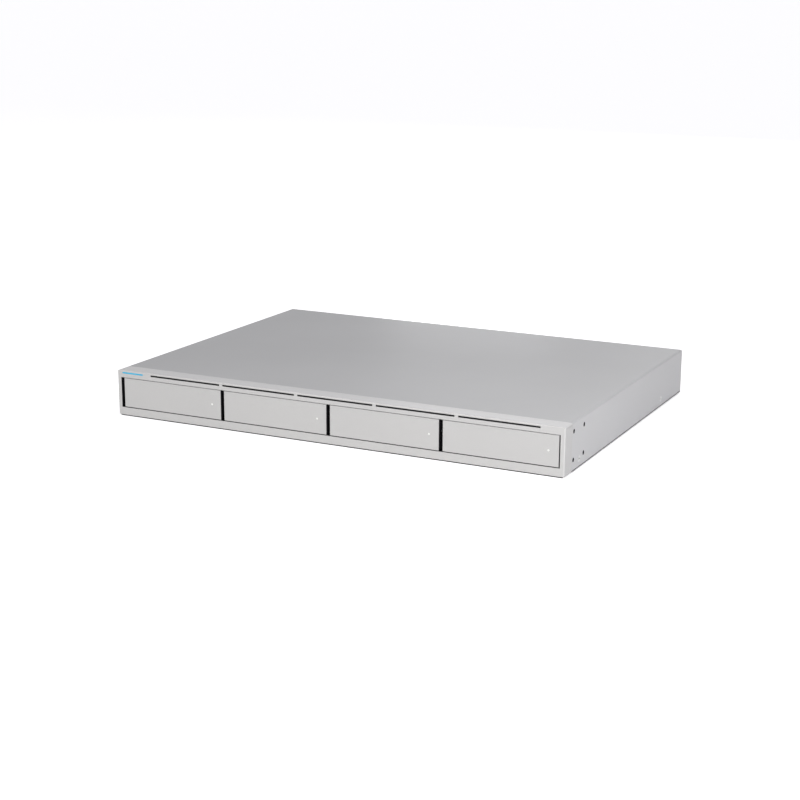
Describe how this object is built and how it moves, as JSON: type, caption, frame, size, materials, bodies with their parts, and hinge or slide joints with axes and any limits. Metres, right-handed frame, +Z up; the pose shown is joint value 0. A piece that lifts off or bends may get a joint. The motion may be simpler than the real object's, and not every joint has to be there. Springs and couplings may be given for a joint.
{
  "type": "network attached storage",
  "caption": "Flat rack-width storage unit with hinged doors over sliding drive trays, air slots and a light bar in the front frame, and fans and sockets in the rear wall.",
  "frame": {"origin": "under the middle of the case, at the height of the pan's underside", "axes": "+X to the right seen from the front, +Y from the front to the back, +Z up"},
  "size_m": [0.442, 0.325, 0.0437],
  "materials": {
    "case_paint": "satin silver-grey powder coat on sheet steel",
    "pan_paint": "satin silver-grey powder coat on sheet steel",
    "front_silver": "fine matt silver-grey lacquer on a moulding",
    "door_silver": "fine matt silver-grey lacquer on a moulding",
    "light_blue": "clear plastic lit blue",
    "lens_white": "frosted clear plastic lit white",
    "clear_guide": "clear moulded plastic",
    "zinc_steel": "zinc-plated sheet steel",
    "screw_steel": "bright nickel-plated steel",
    "spring_steel": "bright drawn wire",
    "board_green": "green solder mask on a glass-fibre board",
    "socket_black": "moulded black plastic",
    "fan_black": "moulded black plastic",
    "rotor_black": "moulded dark plastic",
    "wire_black": "soft black insulation",
    "tray_grey": "moulded dark grey plastic",
    "drive_cast": "cast and machined base with a pressed lid",
    "sink_metal": "extruded, natural",
    "latch_black": "moulded black plastic",
    "button_grey": "moulded grey plastic"
  },
  "bodies": {
    "chassis": {"chassis_base": "pan_paint", "top_cover": "case_paint", "front_bezel": "front_silver", "status_light_bar": "light_blue", "status_board": "board_green", "drive_cage": "zinc_steel", "backplane_board": "board_green", "drive_sockets": "socket_black", "main_board": "board_green", "processor_heatsink": "sink_metal", "network_jack": "zinc_steel", "fibre_cage": "zinc_steel", "power_inlet": "socket_black", "backup_power_jack": "socket_black", "power_supply_case": "zinc_steel", "power_supply_board": "board_green", "rack_nuts": "screw_steel", "case_screws": "screw_steel", "board_screws": "screw_steel", "fan_screws": "screw_steel", "wiring": "wire_black", "fan_frame_1": "fan_black", "fan_frame_2": "fan_black", "fan_frame_3": "fan_black"},
    "reset_button": {"reset_button": "button_grey"},
    "fan_1": {"fan_rotor_1": "rotor_black"},
    "fan_2": {"fan_rotor_2": "rotor_black"},
    "fan_3": {"fan_rotor_3": "rotor_black"},
    "tray_1": {"tray_1": "tray_grey", "drive_1": "drive_cast", "hinge_pin_1": "screw_steel", "latch_spring_1": "spring_steel", "light_guide_1": "clear_guide"},
    "door_1": {"door_1": "door_silver", "door_lens_1": "lens_white"},
    "latch_1": {"latch_plunger_1": "latch_black"},
    "tray_2": {"tray_2": "tray_grey", "drive_2": "drive_cast", "hinge_pin_2": "screw_steel", "latch_spring_2": "spring_steel", "light_guide_2": "clear_guide"},
    "door_2": {"door_2": "door_silver", "door_lens_2": "lens_white"},
    "latch_2": {"latch_plunger_2": "latch_black"},
    "tray_3": {"tray_3": "tray_grey", "drive_3": "drive_cast", "hinge_pin_3": "screw_steel", "latch_spring_3": "spring_steel", "light_guide_3": "clear_guide"},
    "door_3": {"door_3": "door_silver", "door_lens_3": "lens_white"},
    "latch_3": {"latch_plunger_3": "latch_black"},
    "tray_4": {"tray_4": "tray_grey", "drive_4": "drive_cast", "hinge_pin_4": "screw_steel", "latch_spring_4": "spring_steel", "light_guide_4": "clear_guide"},
    "door_4": {"door_4": "door_silver", "door_lens_4": "lens_white"},
    "latch_4": {"latch_plunger_4": "latch_black"}
  },
  "joints": [
    {"name": "reset_press", "type": "slide", "parent": "chassis", "child": "reset_button", "axis": [0, -1, 0], "range_m": [0, 0.0006], "stiffness_N_per_m": 400},
    {"name": "fan_spin_1", "type": "hinge", "parent": "chassis", "child": "fan_1", "pos_m": [-0.072, 0.1494, 0.0214], "axis": [0, 1, 0], "continuous": true},
    {"name": "fan_spin_2", "type": "hinge", "parent": "chassis", "child": "fan_2", "pos_m": [-0.026, 0.1494, 0.0214], "axis": [0, 1, 0], "continuous": true},
    {"name": "fan_spin_3", "type": "hinge", "parent": "chassis", "child": "fan_3", "pos_m": [0.02, 0.1494, 0.0214], "axis": [0, 1, 0], "continuous": true},
    {"name": "tray_slide_1", "type": "slide", "parent": "chassis", "child": "tray_1", "axis": [0, -1, 0], "range_m": [0, 0.18]},
    {"name": "tray_slide_2", "type": "slide", "parent": "chassis", "child": "tray_2", "axis": [0, -1, 0], "range_m": [0, 0.18]},
    {"name": "tray_slide_3", "type": "slide", "parent": "chassis", "child": "tray_3", "axis": [0, -1, 0], "range_m": [0, 0.18]},
    {"name": "tray_slide_4", "type": "slide", "parent": "chassis", "child": "tray_4", "axis": [0, -1, 0], "range_m": [0, 0.18]},
    {"name": "door_hinge_1", "type": "hinge", "parent": "tray_1", "child": "door_1", "pos_m": [-0.2087, -0.1565, 0.02265], "axis": [0, 0, -1], "range_deg": [0, 70]},
    {"name": "door_hinge_2", "type": "hinge", "parent": "tray_2", "child": "door_2", "pos_m": [-0.1004, -0.1565, 0.02265], "axis": [0, 0, -1], "range_deg": [0, 70]},
    {"name": "door_hinge_3", "type": "hinge", "parent": "tray_3", "child": "door_3", "pos_m": [0.0079, -0.1565, 0.02265], "axis": [0, 0, -1], "range_deg": [0, 70]},
    {"name": "door_hinge_4", "type": "hinge", "parent": "tray_4", "child": "door_4", "pos_m": [0.1162, -0.1565, 0.02265], "axis": [0, 0, -1], "range_deg": [0, 70]},
    {"name": "latch_press_1", "type": "slide", "parent": "tray_1", "child": "latch_1", "axis": [0, 1, 0], "range_m": [0, 0.0015], "stiffness_N_per_m": 300, "deforming": ["latch_spring_1"]},
    {"name": "latch_press_2", "type": "slide", "parent": "tray_2", "child": "latch_2", "axis": [0, 1, 0], "range_m": [0, 0.0015], "stiffness_N_per_m": 300, "deforming": ["latch_spring_2"]},
    {"name": "latch_press_3", "type": "slide", "parent": "tray_3", "child": "latch_3", "axis": [0, 1, 0], "range_m": [0, 0.0015], "stiffness_N_per_m": 300, "deforming": ["latch_spring_3"]},
    {"name": "latch_press_4", "type": "slide", "parent": "tray_4", "child": "latch_4", "axis": [0, 1, 0], "range_m": [0, 0.0015], "stiffness_N_per_m": 300, "deforming": ["latch_spring_4"]}
  ]
}
